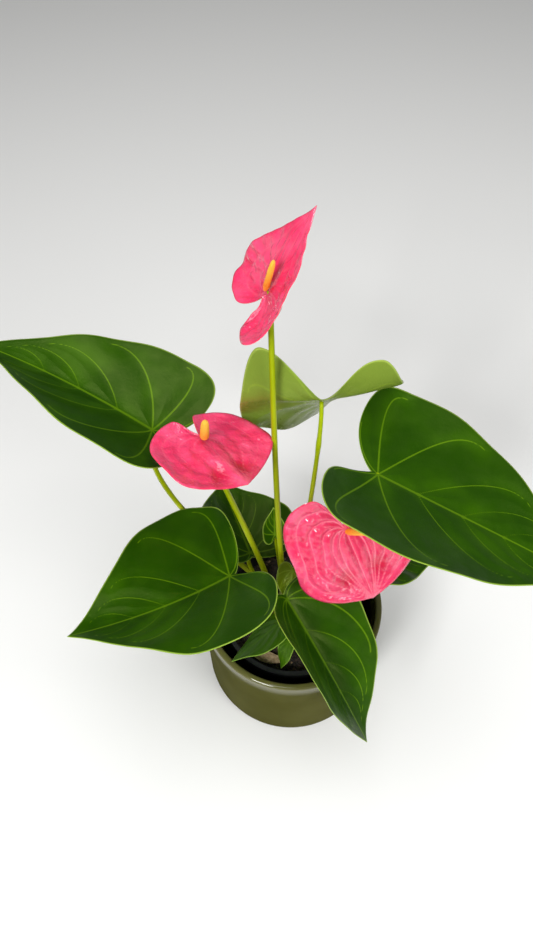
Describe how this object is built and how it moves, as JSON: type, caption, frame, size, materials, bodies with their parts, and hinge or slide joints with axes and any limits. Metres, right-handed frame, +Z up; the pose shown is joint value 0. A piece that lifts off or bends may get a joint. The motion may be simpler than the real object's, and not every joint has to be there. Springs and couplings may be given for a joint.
{
  "type": "potted anthurium plant",
  "caption": "Potted anthurium with glossy heart-shaped leaves and pink spathes, grown in a black nursery pot that stands inside a round glazed outer pot.",
  "frame": {"origin": "centre of the outer pot's flat underside, on the surface it stands on", "axes": "+Z up; +X to the right and -Y towards the viewer when the plant is seen from its front"},
  "size_m": [0.3215, 0.178, 0.3994],
  "materials": {
    "cachepot": "gloss",
    "nursery_pot": "satin",
    "potting_soil": "matte",
    "crown_stem": "matte",
    "dry_bract": "matte",
    "leaf": "gloss",
    "young_leaf": "gloss",
    "stalk": "satin",
    "spathe": "gloss",
    "spadix": "matte",
    "sheath_pale": "matte",
    "sheath_red": "matte",
    "sheath_green": "matte"
  },
  "bodies": {
    "root": {"cachepot": "cachepot", "crown_stem": "crown_stem", "dry_bract": "dry_bract", "leaf_back": "leaf", "leaf_bud": "leaf", "leaf_centre_young": "young_leaf", "leaf_front": "leaf", "leaf_low_small": "leaf", "leaf_lower_left": "leaf", "leaf_right": "leaf", "leaf_right_rear": "leaf", "leaf_sprout": "leaf", "leaf_top_young": "young_leaf", "leaf_upper_left": "leaf", "nursery_pot": "nursery_pot", "peduncle_left": "stalk", "peduncle_right": "stalk", "peduncle_top": "stalk", "petiole_back": "stalk", "petiole_bud": "stalk", "petiole_centre_young": "stalk", "petiole_front": "stalk", "petiole_low_small": "stalk", "petiole_lower_left": "stalk", "petiole_right": "stalk", "petiole_right_rear": "stalk", "petiole_sprout": "stalk", "petiole_top_young": "stalk", "petiole_upper_left": "stalk", "potting_soil": "potting_soil", "sheath_green": "sheath_green", "sheath_pale": "sheath_pale", "sheath_red": "sheath_red", "spadix_left": "spadix", "spadix_right": "spadix", "spadix_top": "spadix", "spathe_left": "spathe", "spathe_right": "spathe", "spathe_top": "spathe"}
  },
  "joints": []
}
